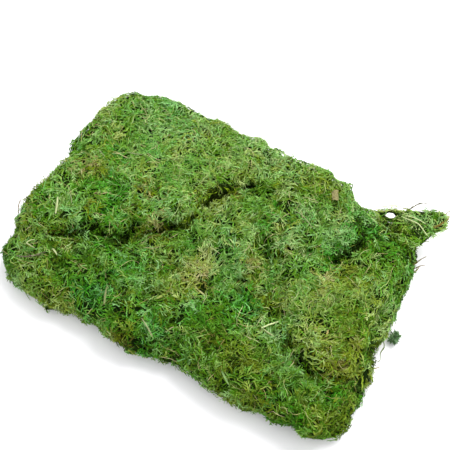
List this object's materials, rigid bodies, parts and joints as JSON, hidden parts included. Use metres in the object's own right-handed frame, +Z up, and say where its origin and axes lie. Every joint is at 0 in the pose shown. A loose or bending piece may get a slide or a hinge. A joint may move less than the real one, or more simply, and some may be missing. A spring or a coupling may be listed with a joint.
{
  "type": "moss clump",
  "caption": "Roughly rectangular mat of dried green sheet moss: overlapping matted sheets with ragged edges, a torn corner scrap and stray dry stalks.",
  "frame": {"origin": "centre of the flat underside's level, at the middle of the whole mat's bounding box", "axes": "+X along the long side, +Y along the short side towards the thicker far edge, +Z up from the surface the mat lies on"},
  "size_m": [0.3172, 0.2362, 0.0478],
  "materials": {
    "moss": "dried matted moss shoots, green with brown and straw-coloured patches, matte",
    "dry_straw": "dry grass stalks and blades, pale straw, slightly shiny",
    "twig": "thin dark brown twig, rough",
    "bark": "thin reddish-brown bark flake, rough"
  },
  "bodies": {
    "root": {"base_sheet": "moss", "back_sheet": "moss", "right_sheet": "moss", "corner_scrap": "moss", "loose_tuft": "moss", "pale_stalk": "dry_straw", "bent_stalk": "dry_straw", "dark_twig": "twig", "thin_straw_1": "dry_straw", "thin_straw_2": "dry_straw", "thin_straw_3": "dry_straw", "thin_straw_4": "dry_straw", "thin_straw_5": "dry_straw", "long_straw": "dry_straw", "bright_straw": "dry_straw", "corner_stalk_1": "dry_straw", "corner_stalk_2": "dry_straw", "corner_twig": "twig", "tan_blade": "dry_straw", "green_blade": "dry_straw", "white_chip": "dry_straw", "bark_chip": "bark"}
  },
  "joints": []
}
